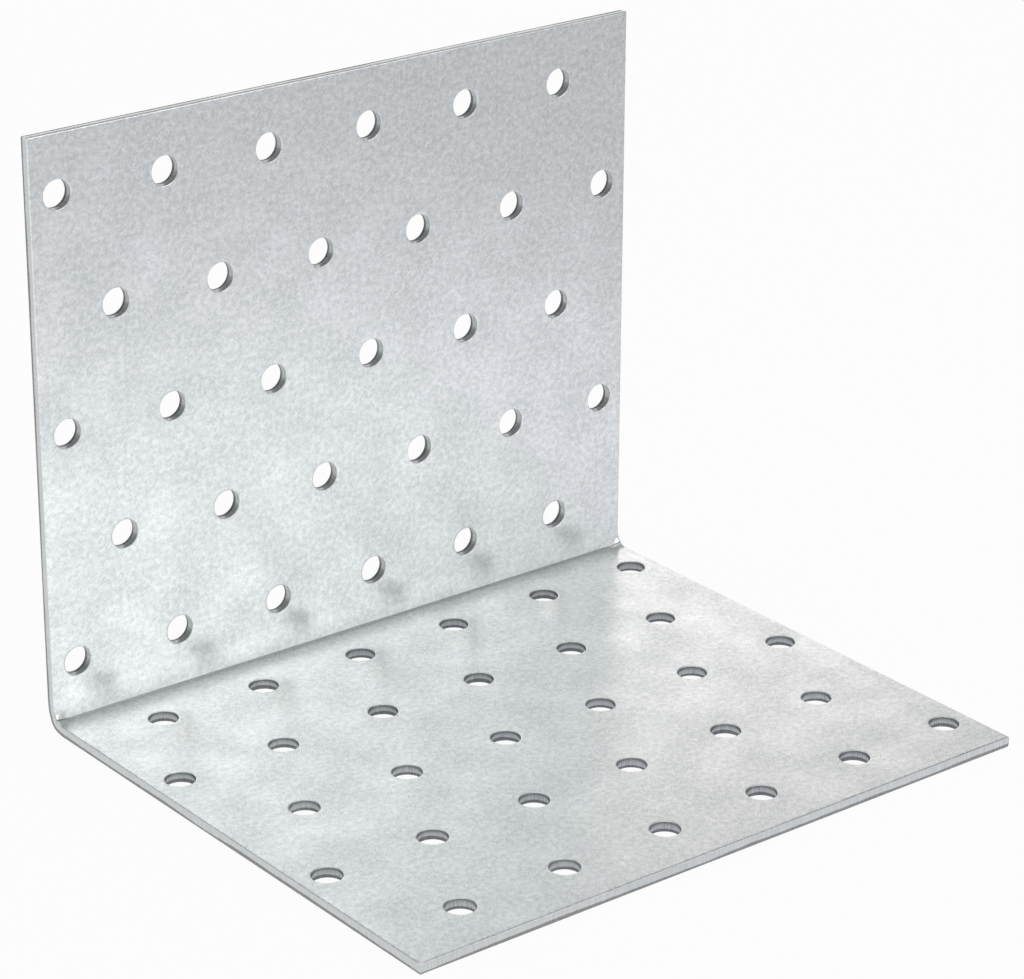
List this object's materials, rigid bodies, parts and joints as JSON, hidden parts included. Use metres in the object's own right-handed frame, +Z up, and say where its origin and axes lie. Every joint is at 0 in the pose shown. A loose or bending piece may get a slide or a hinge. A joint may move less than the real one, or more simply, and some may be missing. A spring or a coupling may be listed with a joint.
{
  "type": "perforated angle bracket",
  "caption": "Right-angle bracket folded from galvanised steel sheet, with staggered round nail holes over both legs, for joining timbers.",
  "frame": {"origin": "under the middle of the outer box, on the plane of the base's outer face", "axes": "+X along the fold, +Y out of the upright's outer face, +Z up along the upright"},
  "size_m": [0.12, 0.1014, 0.1014],
  "materials": {
    "galvanised_steel": "hot-dip galvanised sheet, satin grey with fine mottling"
  },
  "bodies": {
    "root": {"angle_bracket": "galvanised_steel"}
  },
  "joints": []
}
